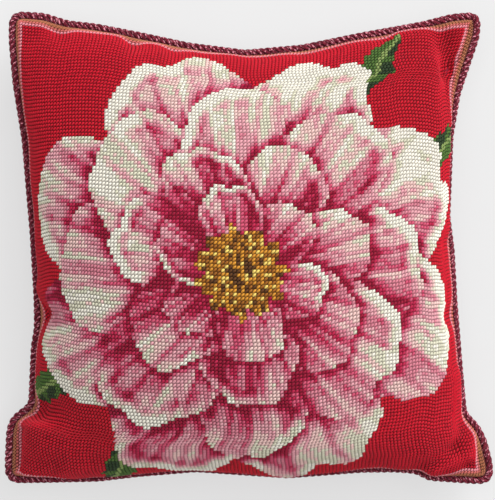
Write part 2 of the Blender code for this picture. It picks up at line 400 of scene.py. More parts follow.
def swellOut(u, v, height):
    lean, swell = 4 * height * (1 - height), filling["swell"]
    across = np.where(u > 0, swell["right"], -swell["left"]) * (1 - v ** filling["swellEnds"])
    up = np.where(v > 0, swell["top"], -swell["bottom"]) * (1 - u ** filling["swellEnds"])
    edge = filling["swellEdge"]
    return across * lean * np.abs(u) ** edge, up * lean * np.abs(v) ** edge


def normalsOf(points):
    return unit(np.cross(np.gradient(points, axis=1), np.gradient(points, axis=0)))


def foldDepth(points, folds):
    depth = np.zeros(points.shape[:-1])
    for x0, y0, x1, y1, deep0, deep1, wide in folds:
        run = np.array((x1 - x0, y1 - y0))
        fromStart = points[..., :2] - (x0, y0)
        share = np.clip(fromStart @ run / (run @ run), 0.0, 1.0)
        distance = np.linalg.norm(fromStart - share[..., None] * run, axis=-1)
        depth += (deep0 + (deep1 - deep0) * share) * np.exp(-((distance / wide) ** 2))
    return depth


def frontSurface(u, v):
    sheet = baseSurface(u, v)
    peakU, peakV = filling["peak"]
    height = rise(u, peakU) * rise(v, peakV) * earFlattening(sheet)
    leanX, leanY = swellOut(u, v, height)
    points = sheet + np.stack(
        (leanX, leanY, filling["edgeUp"] + filling["crown"] * height), axis=-1
    )
    fromSeam = 1 - np.maximum(np.abs(u), np.abs(v))
    depth = foldDepth(points, filling["folds"])
    depth *= 1 - np.exp(-((fromSeam / filling["foldStart"]) ** 2))
    return points - depth[..., None] * normalsOf(points)


def backSurface(u, v):
    sheet = baseSurface(u, v)
    drop = filling["belly"] * rise(u) * rise(v) * earFlattening(sheet)
    height, settle = sheet[..., 2] - filling["edgeDown"] - drop, filling["settle"]
    eased = np.maximum(height + settle, 0.0) ** 2 / (4 * settle)
    sheet[..., 2] = np.where(height > settle, height, eased)
    return sheet


def threadShares(count):
    # places of the threads from 0 to 1 along their row, closer beside the seam
    fromEdge = np.minimum(np.arange(count), np.arange(count)[::-1]) * pattern["stitches"] / count
    steps = 1 - plump["rowsTight"] * np.exp(-((fromEdge / plump["tightRows"]) ** 2))
    return np.concatenate(((0.0,), np.cumsum(steps))) / steps.sum()


def evenNet(surface, count, rounds=8):
    # points of the surface where count threads each way cross, all about as far apart
    shares = threadShares(count)
    u, v = np.meshgrid(np.linspace(-1.0, 1.0, count + 1), np.linspace(-1.0, 1.0, count + 1))
    for turn in range(2 * rounds):
        if turn % 2:
            u, v = u.T.copy(), v.T.copy()
        points = surface(u.T, v.T).transpose(1, 0, 2) if turn % 2 else surface(u, v)
        steps = np.linalg.norm(np.diff(points, axis=1), axis=2)
        for row, lengths in enumerate(steps):
            walked = np.concatenate(((0.0,), np.cumsum(lengths)))
            even = walked[-1] * shares
            u[row], v[row] = np.interp(even, walked, u[row]), np.interp(even, walked, v[row])
        if turn % 2:
            u, v = u.T.copy(), v.T.copy()
    return surface(u, v)


loop = soften(np.vstack([ropeSide(name) for name in seam["sides"]]))
heights = seamHeights()
sides = panelSides(loop, heights)
print("seam and panel edge laid out")


# Stitched pattern: a generic rosette of formula-made petals on a red ground, in a stripe border

yarns = {
    "scarlet": (192, 18, 39), "cherry": (178, 16, 37),
    # the darkest ochre is painted shade: it stands for the shadow where the border runs under the
    # rope
    "ropeShadeOchre": (130, 74, 58), "ochre": (166, 101, 71),
    "salmon": (200, 101, 95), "shell": (226, 136, 146),
    "crimson": (144, 16, 48), "raspberry": (177, 34, 70), "rose": (200, 80, 108),
    "orchid": (205, 123, 138), "pink": (219, 156, 164), "blush": (227, 189, 183),
    "celery": (211, 207, 184), "cream": (233, 227, 213),
    "umber": (92, 56, 26), "bronze": (150, 92, 30),
    "gold": (204, 138, 46), "straw": (238, 206, 106),
    "pine": (44, 62, 36), "leaf": (74, 104, 46), "sage": (128, 148, 84),
}
yarnNames = list(yarns)

pattern = {
    "seed": 7,
    "stitches": 144,        # each way, at 10 to the inch
    # the first row, the darkest ochre, is painted shade under the rope
    "border": ("ropeShadeOchre", "ochre", "ochre", "salmon", "shell"),  # rows from the seam inwards
    "petalYarns": ("crimson", "raspberry", "rose", "orchid", "pink", "blush", "celery", "cream"),
    "cherryShare": 0.08,
    "mixing": 0.85,         # how far neighbouring shades are mixed, in shades
    # petals, turn in degrees, middle, half length and half width in half panels, paleness
    "rings": (
        (8, 22.5, 0.585, 0.34, 0.28, 0.56),
        (8, 0.0, 0.44, 0.30, 0.24, 0.50),
        (7, 12.0, 0.29, 0.22, 0.17, 0.43),
        (6, 40.0, 0.18, 0.15, 0.115, 0.34),
    ),
    "turnSpread": 4,        # degrees that a petal may be off its place
    "lengthSpread": (0.94, 1.07),
    "widthSpread": (0.94, 1.08),
}

# one petal; lengths are shares of its own, and shades run from 0 to 1
petal = {
    "rimWaves": ((3, 0.05), (7, 0.035)),        # waves round the rim and their depth
    "notchDeep": (0.06, 0.17),
    "notchWide": 0.28,
    "shadow": 0.34,         # how much darker it makes the petal below
    "shadowFrom": 1.2,
    "shadowWide": 0.2,
    "fanBack": 1.4,         # how far behind the middle the streaks meet
    "streaks": ((9, 0.12), (23, 0.09), (41, 0.06)),     # lines and their strength
    "streakTurns": 2.2,
    "streakDrift": 2.5,
    "streakCells": 8,       # hills of noise that draw them aside
    "streakGain": 1.1,
    "lipFrom": 0.80,
    "lipWide": 0.12,
    "lipTip": 0.35,         # no lip nearer to the root than this
    "lipTurned": (-0.08, 0.26),
    "lipWave": (1.5, 0.26),
    "underLip": (0.9, 0.25, 0.74, 0.07),        # strength, limit, place and width
    "cup": (0.16, 1.9, 0.6),                    # strength, bend and wander
    "light": (0.08, 70, 0.10),                  # strength, from which angle, spread
    "root": (0.52, 1.4),                        # how much darker, how suddenly
    "tip": 0.24,            # how much paler
    "mottle": 0.12,
    "mottleCells": 20,
}

# leaves in pairs; lengths in half panels
leaf = {
    "angles": (45, 225),
    "turnSpread": 5,        # degrees
    "pairOpen": 0.20,       # radians from the pair's middle to each leaf
    "start": 0.75,
    "length": 0.37,
    "halfWidth": 0.062,
    "roundness": 0.8,
    "bend": (0.06, 2.0),    # how far and how fast it bends
    "teeth": (0.1, 38.0),
    "veins": (60.0, 0.35),  # how close, and from which height of the wave
    "midrib": 0.010,
}

heart = {
    "size": 0.155,
    "rimWaves": ((11, 0.10, 1.0), (19, 0.07, 0.0)),             # waves, depth, start
    "rays": ((26, 1.0, 14, 0.0), (15, 0.7, -9, 2.0)),           # rays, strength, twist, start
    "speckle": 0.9,
    "levels": (1.15, -0.1, -1.1),   # of straw, gold and bronze
    "pit": (0.35, 0.3),     # share of the size, and the rays that stay in it
}
anyPhase = (0, 6)       # about a whole turn


def softNoise(rng, x, y, cells):
    # smooth random hills from -1 to 1, cells of them across the panel
    grid = rng.uniform(-1, 1, (cells + 2, cells + 2))
    reach = 1.3     # from the middle, in half panels
    column, row = (np.clip((axis / reach + 1) / 2, 0, 0.9999) * cells for axis in (x, y))
    i, j = column.astype(int), row.astype(int)
    a, b = (part * part * (3 - 2 * part) for part in (column - i, row - j))
    low = grid[j, i] * (1 - a) + grid[j, i + 1] * a
    high = grid[j + 1, i] * (1 - a) + grid[j + 1, i + 1] * a
    return low * (1 - b) + high * b


def petalStreaks(rng, x, y, fan):
    # lines that spread from the root, drawn aside here and there
    streaks = np.zeros(fan.shape)
    for lines, strength in petal["streaks"]:
        start = rng.uniform(*anyPhase)
        drift = petal["streakDrift"] * softNoise(rng, x, y, petal["streakCells"])
        streaks += strength * np.sin(lines * petal["streakTurns"] * fan + start + drift)
    return petal["streakGain"] * streaks


def petalLip(rng, around, far, outer):
    # the pale turned lip of the outer half, and the dark line under it
    bends, height = petal["lipWave"]
    turned = rng.uniform(*petal["lipTurned"])
    turned = turned + height * np.sin(bends * around + rng.uniform(*anyPhase))
    lip = np.clip((far - petal["lipFrom"]) / petal["lipWide"], 0, 1) * np.clip(turned, 0, 1)
    strength, limit, place, wide = petal["underLip"]
    under = strength * np.clip(turned, 0, limit) * np.exp(-(((far - place) / wide) ** 2))
    return outer * (lip - under)


def stitchPetal(rng, x, y, shade, angle, middle, halfLength, halfWidth, pale):
    along = x * math.cos(angle) + y * math.sin(angle) - middle
    across = y * math.cos(angle) - x * math.sin(angle)
    around = np.arctan2(across / halfWidth, along / halfLength)
    waves = sum(
        deep * np.sin(count * around + rng.uniform(*anyPhase)) for count, deep in petal["rimWaves"]
    )
    notch = rng.uniform(*petal["notchDeep"]) * np.exp(-((around / petal["notchWide"]) ** 2))
    far = np.hypot(across / halfWidth, along / halfLength) / (1 + waves - notch)
    shadow = np.clip((petal["shadowFrom"] - far) / petal["shadowWide"], 0, 1)
    shade = shade - petal["shadow"] * shadow
    tip = np.clip((along / halfLength + 1) / 2, 0, 1)
    body = pale + petal["tip"] * tip
    body += petalStreaks(rng, x, y, np.arctan2(across, along + petal["fanBack"] * halfLength))
    body += petalLip(rng, around, far, tip > petal["lipTip"])
    strength, bend, wander = petal["cup"]
    body += strength * np.sin(bend * across / halfWidth + rng.uniform(-wander, wander))
    strength, lightAngle, spread = petal["light"]
    body += strength * math.cos(angle - math.radians(lightAngle)) + rng.uniform(-spread, spread)
    darker, steep = petal["root"]
    body += petal["mottle"] * softNoise(rng, x, y, petal["mottleCells"])
    body -= darker * (1 - tip) ** steep
    return np.where(far <= 1, body, shade)


def stitchLeaves(rng, x, y, chart):
    pick = yarnNames.index
    bend, bendRate = leaf["bend"]
    toothDeep, teeth = leaf["teeth"]
    veins, veinEdge = leaf["veins"]
    for pairAngle in leaf["angles"]:
        angle = math.radians(pairAngle + rng.uniform(-leaf["turnSpread"], leaf["turnSpread"]))
        for side in (-1, 1):
            turned = angle + side * leaf["pairOpen"]
            along = x * math.cos(turned) + y * math.sin(turned)
            across = y * math.cos(turned) - x * math.sin(turned)
            share = np.clip((along - leaf["start"]) / leaf["length"], 0, 1)
            off = across - side * bend * np.sin(bendRate * share)
            half = leaf["halfWidth"] * np.sin(np.pi * share) ** leaf["roundness"]
            half *= 1 + toothDeep * np.sin(teeth * share)
            sunny = (off * side > 0) | (np.sin(veins * (along - np.abs(off))) > veinEdge)
            tone = np.where(sunny, pick("leaf"), pick("pine"))
            tone = np.where(np.abs(off) < leaf["midrib"], pick("sage"), tone)
            chart = np.where(np.abs(off) < half, tone, chart)
    return chart


def stitchHeart(rng, x, y, chart):
    pick = yarnNames.index
    around = np.arctan2(y, x)
    waves = sum(deep * np.sin(count * around + start) for count, deep, start in heart["rimWaves"])
    far = np.hypot(x, y) / (heart["size"] * (1 + waves))
    rays = sum(
        strength * np.sin(count * around + twist * far + start)
        for count, strength, twist, start in heart["rays"]
    )
    rays += heart["speckle"] * rng.uniform(-1, 1, x.shape)
    tone = np.select(
        [rays > level for level in heart["levels"]],
        [pick("straw"), pick("gold"), pick("bronze")],
        pick("umber"),
    )
    pit, kept = heart["pit"]
    tone = np.where((far < pit) & (rays < kept), pick("umber"), tone)
    return np.where(far < 1, tone, chart)


def makeChart():
    rng = np.random.default_rng(pattern["seed"])
    count = pattern["stitches"]
    steps = (np.arange(count) + 0.5) / count * 2 - 1
    x, y = np.meshgrid(steps, steps)
    shade = np.full(x.shape, np.nan)
    for petals, turn, middle, halfLength, halfWidth, pale in pattern["rings"]:
        for number in rng.permutation(petals):
            spread = rng.uniform(-pattern["turnSpread"], pattern["turnSpread"])
            angle = math.radians(turn + 360 * number / petals + spread)
            ownLength = halfLength * rng.uniform(*pattern["lengthSpread"])
            ownWidth = halfWidth * rng.uniform(*pattern["widthSpread"])
            shade = stitchPetal(rng, x, y, shade, angle, middle, ownLength, ownWidth, pale)
    cherry = rng.uniform(0, 1, x.shape) < pattern["cherryShare"]
    chart = np.where(cherry, yarnNames.index("cherry"), yarnNames.index("scarlet"))
    chart = stitchLeaves(rng, x, y, chart)
    shades = len(pattern["petalYarns"])
    level = np.nan_to_num(shade) * shades + pattern["mixing"] * rng.uniform(-0.5, 0.5, x.shape)
    level = np.clip(np.floor(level), 0, shades - 1).astype(int)
    petalYarns = np.array([yarnNames.index(name) for name in pattern["petalYarns"]])
    chart = np.where(np.isnan(shade), chart, petalYarns[level])
    chart = stitchHeart(rng, x, y, chart)
    inwards = np.minimum(np.arange(count), np.arange(count)[::-1])
    fromEdge = np.minimum(*np.meshgrid(inwards, inwards))
    for row, name in enumerate(pattern["border"]):
        chart[fromEdge == row] = yarnNames.index(name)
    return chart


# Canvas net: where the threads cross on the filled front

panel = {
    "stitchTop": 0.1,       # mm that the wool stays under the solid's surface
    "canvasDown": 1.0,      # from that surface to the canvas
    "canvasThick": 1.3,
    "rimOut": 2.3,          # mm that the canvas reaches out under the rope
    "rimDown": 1.0,
    # painted shade: the canvas is printed in the colours of its stitches, darkened to these shares
    # to stand for the shade in the gaps, less over the petals
    "gapPaintedShade": 0.28,       # how much of their colour the canvas between stitches has
    "petalGapPaintedShade": 0.46,
    "gathers": {
        "deep": 0.8,        # mm
        "middle": 7.0,      # rows in from the seam
        "wide": 5.0,
        "uneven": (0.8, 5.0),           # how far and how fast their spacing drifts
        # gathers along the side, share of the depth, phase: top, bottom, right and left
        "sides": ((8.6, 1.0, 0.4), (7.3, 0.45, 2.0), (7.3, 0.45, 1.1), (7.3, 0.5, 3.0)),
    },
}


def gatherSeam(net, gathers):
    # soft gathers just inside the seam
    count = len(net) - 1
    index = np.arange(count + 1.0)
    column, row = np.meshgrid(index, index)
    lines = ((count - row, column), (row, column), (count - column, row), (column, row))
    depth = np.zeros(net.shape[:2])
    drift, driftRate = gathers["uneven"]
    for (inwards, along), (ripples, strength, start) in zip(lines, gathers["sides"]):
        share, rowsIn = along / count, inwards * pattern["stitches"] / count
        nearSeam = np.exp(-(((rowsIn - gathers["middle"]) / gathers["wide"]) ** 2))
        phase = 2 * math.pi * ripples * share + start + drift * np.sin(driftRate * share + start)
        depth += strength * nearSeam * np.sin(phase) * np.sin(math.pi * share) ** 0.5
    return net + (gathers["deep"] * depth)[..., None] * normalsOf(net)


def plumpFront(u, v):
    # the front with its ears rounded up beside the rope and with sharper creases
    points = frontSurface(u, v)
    seamStep = (1 - np.maximum(np.abs(u), np.abs(v))) * plump["halfPanel"]
    share = np.clip(seamStep / plump["rollWide"], 0.0, 1.0)
    roll = plump["rollHigh"] * np.sqrt(1 - (1 - share) ** 2) * (1 - earFlattening(points))
    points[..., 2] += roll
    depth = foldDepth(points, plump["creases"])
    depth *= np.clip(seamStep / plump["creaseStart"], 0.0, 1.0)
    return points - depth[..., None] * normalsOf(points)


def frameShift():
    # the solids are centred on their rope, so the formula's points move by the same small step
    low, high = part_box("needlepoint_front")
    across = np.linspace(-1.0, 1.0, 97)     # close enough for the outermost points
    points = frontSurface(*np.meshgrid(across, across)).reshape(-1, 3)
    middle = (points.min(axis=0) + points.max(axis=0)) / 2 * mm
    solidMiddle = (np.array(low) + np.array(high)) / 2
    return np.array((solidMiddle[0] - middle[0], solidMiddle[1] - middle[1], 0.0))


shift = frameShift()
net = gatherSeam(evenNet(plumpFront, pattern["stitches"]), panel["gathers"])
netNormals = normalsOf(net)
print("canvas net laid over the crown, shift", [round(float(s) * 1000, 2) for s in shift], "mm")


# Making pieces

def newPiece(bm, name, material, smooth=True):
    mesh = bpy.data.meshes.new(name)
    bm.to_mesh(mesh)
    bm.free()
    if smooth:
        mesh.shade_smooth()
    mesh.materials.append(material)
    piece = bpy.data.objects.new(name, mesh)
    scene.collection.objects.link(piece)
    return piece


def settle(piece):
    # the piece's modifiers become its mesh
    evaluated = piece.evaluated_get(bpy.context.evaluated_depsgraph_get())
    mesh = bpy.data.meshes.new_from_object(evaluated)
    piece.modifiers.clear()
    old, piece.data = piece.data, mesh
    mesh.name = piece.name
    bpy.data.meshes.remove(old)
    return piece


def gridBmesh(columns, rows):
    # a flat grid with steps of 1 and a map of 0 to 1, which a piece's own lines then shape
    bm = bmesh.new()
    bm.loops.layers.uv.new("thread")
    bmesh.ops.create_grid(bm, x_segments=columns, y_segments=rows, size=0.5, calc_uvs=True)
    for vert in bm.verts:
        vert.co = (round((vert.co.x + 0.5) * columns), round((vert.co.y + 0.5) * rows), 0.0)
    return bm


# Yarn finish, shared by all the stitches

# In all finishes a noise is given as its scale and detail; patches add where it starts and
# is full, a roughness its least value and what the noise adds, a bump its grain and depth in m
wool = {
    "plies": 3,             # side by side in a stitch
    "plySlant": 9.0,        # and how many cross it from end to end
    "plyDeep": 0.00012,
    # painted shade: the grooves between plies are darkened towards a near black
    "groove": (0.32, 0.5),  # from a ply's middle, where the dark starts and is full
    "groovePaintedDark": 0.35,
    "groovePaintedShade": (0.02, 0.01, 0.01, 1.0),
    "paleFuzz": (2600.0, 2.0, 0.35, 0.75),
    "paler": 0.18,
    "roughness": (900.0, 2.0, 0.85, 0.15),
    "fuzz": (3200.0, 2.0, 0.55, 0.00010),
    "sheen": 0.07,
}


def woolTurn(graph):
    # rises by 1 from ply to ply
    across, along, _ = graph.split(graph.onMap("strand"))
    return along * wool["plySlant"] + across * wool["plies"]


def woolColour(graph):
    yarn = graph.node("ShaderNodeAttribute", {"attribute_name": "yarn"}, output="Color")
    fuzz = graph.patches(*wool["paleFuzz"]) * wool["paler"]
    lighter = graph.blend(fuzz, yarn, white, "SOFT_LIGHT")
    # painted shade in the grooves between plies
    dark = woolTurn(graph).fromMiddle().step(*wool["groove"]) * wool["groovePaintedDark"]
    return graph.blend(dark, lighter, wool["groovePaintedShade"])


def woolPlies(graph):
    return woolTurn(graph).fraction().step(0.0, 0.5), wool["plyDeep"]


woolFinish = makeFinish(
    "stitched_wool_fine", woolColour, noisyRoughness(*wool["roughness"]),
    (woolPlies, noisyBump(*wool["fuzz"])), wool["sheen"],
)


# Tent stitches

stitch = {
    "around": 5,            # faces round it
    "rings": 4,             # and along it
    "lean": 1.00,           # how far it reaches across while it goes up one row
    "overlap": 0.95,        # its length over the way that it goes
    "fullness": 0.90,       # its width over the room between it and the next
    "fullerDown": 0.22,     # and how much more where the front is upright
    "height": 1.9,          # mm, canvas to crown and as much below it
    "dip": 0.32,            # how far its ends sink towards the holes, in heights
    "shoulder": 1.1,        # fuller than a plain oval
    "shoulderReach": (0.1, 0.45),       # between these shares of its length
    "lift": 0.05,           # mm
    "dyeSpread": 0.06,      # how much lighter or darker it is than its yarn
    "patchMargin": 0.05,    # round its patch of the map, in patches
}


def makeStitchShape():
    # one plump grain of wool, 1 long, 1 wide and 1 high
    bm = bmesh.new()
    bm.loops.layers.uv.new("strand")
    bmesh.ops.create_uvsphere(
        bm, u_segments=stitch["around"], v_segments=stitch["rings"], radius=0.5, calc_uvs=True
    )
    bmesh.ops.rotate(bm, verts=bm.verts, matrix=Matrix.Rotation(math.pi / 2, 3, "Y"))
    inner, outer = stitch["shoulderReach"]
    for vert in bm.verts:
        if inner < abs(vert.co.x) < outer:
            vert.co.y *= stitch["shoulder"]
            vert.co.z *= stitch["shoulder"]
        vert.co.z -= stitch["dip"] * (2 * vert.co.x) ** 2
    bmesh.ops.recalc_face_normals(bm, faces=bm.faces)
    return newPiece(bm, "stitchShape", woolFinish)


def stitchNodes(shape, gridSide):
    # lays one stitch on each point, turned and stretched to the canvas there, and gives it its
    # own patch of the map
    tree = bpy.data.node_groups.new("layStitches", "GeometryNodeTree")
    tree.interface.new_socket("Geometry", in_out="INPUT", socket_type="NodeSocketGeometry")
    tree.interface.new_socket("Geometry", in_out="OUTPUT", socket_type="NodeSocketGeometry")
    graph = Graph(tree)

    def stored(name):
        settings = {"data_type": "FLOAT_VECTOR"}
        return graph.node("GeometryNodeInputNamedAttribute", settings, {"Name": name})

    points = graph.node("NodeGroupInput")
    grain = graph.node("GeometryNodeObjectInfo", {}, {"Object": shape}, "Geometry")
    along = graph.node(
        "FunctionNodeAlignRotationToVector", {"axis": "X"}, {"Vector": stored("along")}
    )
    turned = graph.node(
        "FunctionNodeAlignRotationToVector", {"axis": "Z", "pivot_axis": "X"},
        {"Rotation": along, "Vector": stored("outward")},
    )
    laid = graph.node(
        "GeometryNodeInstanceOnPoints", {},
        {"Points": points, "Instance": grain, "Rotation": turned, "Scale": stored("size")},
    )
    real = graph.node("GeometryNodeRealizeInstances", {}, {"Geometry": laid})
    patch = (1 - 2 * stitch["patchMargin"]) / gridSide
    inPatch = graph.node(
        "ShaderNodeVectorMath", {"operation": "SCALE"}, {0: stored("strand"), "Scale": patch}
    )
    place = graph.node(
        "ShaderNodeVectorMath", {"operation": "ADD"}, {0: stored("patch"), 1: inPatch}
    )
    mapped = graph.node(
        "GeometryNodeStoreNamedAttribute", {"data_type": "FLOAT2", "domain": "CORNER"},
        {"Geometry": real, "Name": "OFBake", "Value": place},
    )
    graph.node("NodeGroupOutput", {}, {"Geometry": mapped})
    return tree


def laySome(name, shape, columns, rows, colours):
    # the stitches at these columns and rows of the net, as one piece
    corner, far = net[rows, columns], net[rows + 1, columns + 1]
    across, up = net[rows, columns + 1] - corner, net[rows + 1, columns] - corner
    along = (up + stitch["lean"] * across) * mm
    outward = unit(netNormals[rows, columns] + netNormals[rows + 1, columns + 1])
    length = np.linalg.norm(along, axis=1)
    room = np.linalg.norm(np.cross(across, up), axis=1) * mm * mm / length
    down = panel["stitchTop"] + stitch["height"] / 2 - stitch["lift"]
    middles = (corner + far) / 2 * mm + shift - outward * down * mm
    high = np.full(len(length), stitch["height"] * mm)
    full = stitch["fullness"] + stitch["fullerDown"] * (1 - outward[:, 2])
    size = np.column_stack((stitch["overlap"] * length, full * room, high))
    gridSide = math.ceil(math.sqrt(len(length)))
    number = np.arange(len(length))
    patch = np.column_stack((number % gridSide, number // gridSide, 0 * number)) / gridSide
    patch[:, :2] += stitch["patchMargin"] / gridSide
    bm = bmesh.new()
    for middle in middles:
        bm.verts.new(middle)
    piece = newPiece(bm, name, woolFinish, smooth=False)
    notes = {"along": along, "outward": outward, "size": size, "patch": patch}
    for label, values in notes.items():
        note = piece.data.attributes.new(label, "FLOAT_VECTOR", "POINT")
        note.data.foreach_set("vector", values.ravel())
    yarn = piece.data.attributes.new("yarn", "FLOAT_COLOR", "POINT")
    yarn.data.foreach_set("color", colours.ravel())
    lay = piece.modifiers.new("stitches", "NODES")
    lay.node_group = stitchNodes(shape, gridSide)
    settle(piece)
    for label in notes:
        piece.data.attributes.remove(piece.data.attributes[label])
    if not piece.data.materials:
        piece.data.materials.append(woolFinish)
    return piece


def stitchFamilies(chart):
    # the stitches in groups of like yarns, each well under the limit for one piece
    groups = {
        "ground_stitches_upper": ("scarlet", "cherry"),
        "ground_stitches_lower": ("scarlet", "cherry"),
        "petal_stitches_deep": ("crimson", "raspberry", "rose", "orchid"),
        "petal_stitches_mid": ("pink", "blush"),
        "petal_stitches_pale": ("cream", "celery"),
        "heart_and_leaf_stitches": ("umber", "bronze", "gold", "straw", "pine", "leaf", "sage"),
        "border_stitches": ("ropeShadeOchre", "ochre", "salmon", "shell"),
    }
    chosen = {
        name: np.isin(chart, [yarnNames.index(yarn) for yarn in members])
        for name, members in groups.items()
    }
    middle = pattern["stitches"] // 2
    chosen["ground_stitches_upper"][:middle] = False
    chosen["ground_stitches_lower"][middle:] = False
    return chosen


def dyeYarn(chart):
    # each stitch's own colour, a little lighter or darker than its yarn
    rng = np.random.default_rng(pattern["seed"] + 1)
    shades = np.array([linear(*colour) for colour in yarns.values()])[chart]
    dye = 1 + stitch["dyeSpread"] * rng.uniform(-1, 1, chart.shape)
    shades[..., :3] *= dye[..., None]
    return shades


def makeStitches():
    shape = makeStitchShape()
    pieces = []
    for name, chosen in stitchFamilies(chart).items():
        rows, columns = np.nonzero(chosen)
        pieces.append(laySome(name, shape, columns, rows, shades[rows, columns]))
        print(name, len(rows), "stitches,", len(pieces[-1].data.polygons), "faces")
    bpy.data.objects.remove(shape, do_unlink=True)
    return pieces


chart = makeChart()
shades = dyeYarn(chart)
stitchPieces = makeStitches()


# Canvas under the stitches

canvasLook = {
    # painted shade: the rim's dark colour stands for the shadow under the rope
    "rim": (70, 30, 30),    # where it lies under the rope
    "grain": (900.0, 2.0, 0.3, 0.75),
    "grainDark": 0.5,
    "roughness": (500.0, 3.0, 0.85, 0.1),
    "weaveDeep": 0.0003,
}


def canvasColour(graph):
    # the gap colour carries the painted shade between stitches
    gap = graph.node("ShaderNodeAttribute", {"attribute_name": "gap"}, output="Color")
    grain = graph.patches(*canvasLook["grain"]) * canvasLook["grainDark"]
    return graph.blend(grain, gap, black)


def canvasWeave(graph):
    across, up, _ = graph.split(graph.onMap("thread"))
    count = (pattern["stitches"] + 2) * math.pi
    height = (across * count).sine().size() * (up * count).sine().size()
    return height, canvasLook["weaveDeep"]


canvasFinish = makeFinish(
    "canvas_weave", canvasColour, noisyRoughness(*canvasLook["roughness"]), (canvasWeave,)
)


def reachOut(points, out, down):
    # the outermost rows and columns of points move down, and out from those further in
    for edge, second, inner in ((0, 1, 4), (-1, -2, -5)):
        for lines in (points, points.transpose(1, 0, 2)):
            away = (lines[second] - lines[inner]) * (1, 1, 0)
            away /= np.maximum(np.linalg.norm(away, axis=1, keepdims=True), 1e-6)
            lines[edge] += out * away - (0.0, 0.0, down)


def makeCanvas():
    cells = pattern["stitches"] + 2
    surface = net - (panel["stitchTop"] + panel["canvasDown"]) * netNormals
    surface = np.pad(surface, ((1, 1), (1, 1), (0, 0)), mode="edge")
    reachOut(surface, panel["rimOut"], panel["rimDown"])
    gaps = np.empty((cells, cells, 4))
    # the rim, under the rope, gets its dark painted shade
    gaps[:] = linear(*canvasLook["rim"])
    onPetal = np.isin(chart, [yarnNames.index(name) for name in pattern["petalYarns"]])
    # painted shade: each gap takes its stitch's colour, darkened by this share
    share = np.where(onPetal, panel["petalGapPaintedShade"], panel["gapPaintedShade"])
    gaps[1:-1, 1:-1] = shades
    gaps[1:-1, 1:-1, :3] *= share[..., None]
    bm = gridBmesh(cells, cells)
    gapLayer = bm.loops.layers.float_color.new("gap")
    for face in bm.faces:
        column, row = (min(round(vert.co[axis]) for vert in face.verts) for axis in (0, 1))
        for corner in face.loops:
            corner[gapLayer] = gaps[row, column]
    for vert in bm.verts:
        vert.co = surface[round(vert.co.y), round(vert.co.x)] * mm + shift
    bm.normal_update()
    canvas = newPiece(bm, "stitched_canvas", canvasFinish)
    solidify = canvas.modifiers.new("canvas", "SOLIDIFY")
    solidify.thickness = panel["canvasThick"] * mm
    solidify.offset = -1
    return settle(canvas)


canvas = makeCanvas()
print("canvas made,", len(canvas.data.polygons), "faces")


# Filled body in its back cloth

body = {
    "cells": 64,
    "underFront": 2.9,      # mm from the solid's front down to the body's top
    "smaller": 1.2,         # mm that the belly starts inside the solid
    "pressure": 4.0,
    "spare": 0.02,          # extra cloth, which puckers beside the seam
    "clothQuality": 5,
    "clothMass": 0.3,
    "stretchStiff": 15,
    "bendStiff": 0.5,
    "frames": 20,
    "cap": 5.0,             # mm that a point moves at most
    "floor": 0.15,          # mm that it stays over the floor
    "lipOut": 2.2,          # mm that the back cloth reaches out under the rope
    "lipDown": 1.0,
    "gathers": {
        "deep": 2.2,
        "middle": 7.0,
        "wide": 7.0,
        "uneven": (0.8, 5.0),
        "sides": ((13.0, 1.0, 0.3), (12.0, 0.9, 1.7), (14.0, 1.0, 2.2), (13.0, 0.8, 0.9)),
    },
}

backLook = {
    "shades": ((92, 16, 32), (132, 26, 46)),
    "pile": (1500.0, 3.0, 0.3, 0.75),
    "wornShade": (150, 40, 58),
    "worn": (14.0, 4.0, 0.35, 0.7),
    "wornMost": 0.35,
    "roughness": (60.0, 3.0, 0.78, 0.15),
    "dentBump": (45.0, 4.0, 0.55, 0.0025),
    "pileBump": (1800.0, 3.0, 0.7, 0.0004),
    "sheen": 0.35,
    "sheenShade": (230, 120, 130),
}


def backColour(graph):
    low, high = (linear(*shade) for shade in backLook["shades"])
    fresh = graph.blend(graph.patches(*backLook["pile"]), low, high)
    worn = graph.patches(*backLook["worn"]) * backLook["wornMost"]
    return graph.blend(worn, fresh, linear(*backLook["wornShade"]))


backFinish = makeFinish(
    "back_cloth_fine", backColour, noisyRoughness(*backLook["roughness"]),
    (noisyBump(*backLook["dentBump"]), noisyBump(*backLook["pileBump"])),
    backLook["sheen"], linear(*backLook["sheenShade"]),
)


def makeBody():
    cells = body["cells"]
    top = evenNet(plumpFront, cells, 4)
    top -= body["underFront"] * normalsOf(top)
    bottom = gatherSeam(evenNet(backSurface, cells, 4), body["gathers"])
    bottom[..., 2] = np.maximum(bottom[..., 2], 0.0)
    reachOut(bottom, body["lipOut"], body["lipDown"])
    bm = gridBmesh(cells, cells)
    drawn = bmesh.ops.extrude_face_region(bm, geom=list(bm.faces))["geom"]
    lower = {item for item in drawn if isinstance(item, bmesh.types.BMVert)}
    for vert in bm.verts:
        place = round(vert.co.y), round(vert.co.x)
        vert.co = (bottom if vert in lower else top)[place] * mm + shift
    bmesh.ops.recalc_face_normals(bm, faces=bm.faces)
    return newPiece(bm, "filled_body", backFinish)


def readPoints(piece, what):
    values = np.empty(3 * len(piece.data.vertices))
    piece.data.vertices.foreach_get(what, values)
    return values.reshape(-1, 3)


